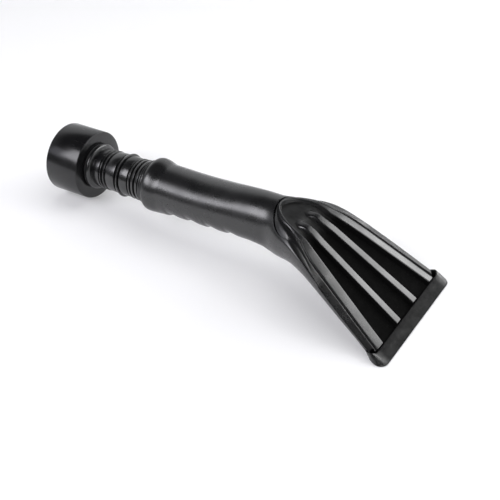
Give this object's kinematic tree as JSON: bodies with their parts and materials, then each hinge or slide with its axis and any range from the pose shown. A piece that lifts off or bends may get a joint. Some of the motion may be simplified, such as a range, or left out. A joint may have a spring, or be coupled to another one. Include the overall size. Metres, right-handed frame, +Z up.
{
  "type": "vacuum claw nozzle",
  "caption": "Black plastic vacuum claw nozzle: a fan-shaped ribbed head on a round grip with finger notches, a ribbed push-in plug and a swivelling hose cuff.",
  "frame": {"origin": "on the surface that the tool lies on, under the middle of its length and width", "axes": "+X from the hose cuff to the mouth, +Y to the left when looking along +X, +Z up"},
  "size_m": [0.366, 0.124, 0.0725],
  "materials": {
    "shell": "black satin moulded plastic",
    "cover": "black satin moulded plastic, matte in the grooves",
    "lip": "dull black, soft",
    "plug": "black satin moulded plastic",
    "seal": "dull black",
    "washer": "dark grey, slippery",
    "clip": "spring steel",
    "cuff": "black satin moulded plastic"
  },
  "bodies": {
    "claw": {"nozzle_body": "shell", "ribbed_cover": "cover", "mouth_lip": "lip"},
    "plug": {"connector_plug": "plug", "seal_ring_1": "seal", "seal_ring_2": "seal", "thrust_washer": "washer", "snap_ring": "clip"},
    "cuff": {"hose_cuff": "cuff"}
  },
  "joints": [
    {"name": "plug_pull", "type": "slide", "parent": "claw", "child": "plug", "axis": [-0.9976, 0, -0.0698], "range_m": [0, 0.03]},
    {"name": "cuff_swivel", "type": "hinge", "parent": "plug", "child": "cuff", "pos_m": [-0.18081, 0, 0.03142], "axis": [0.9976, 0, 0.0698], "continuous": true}
  ]
}
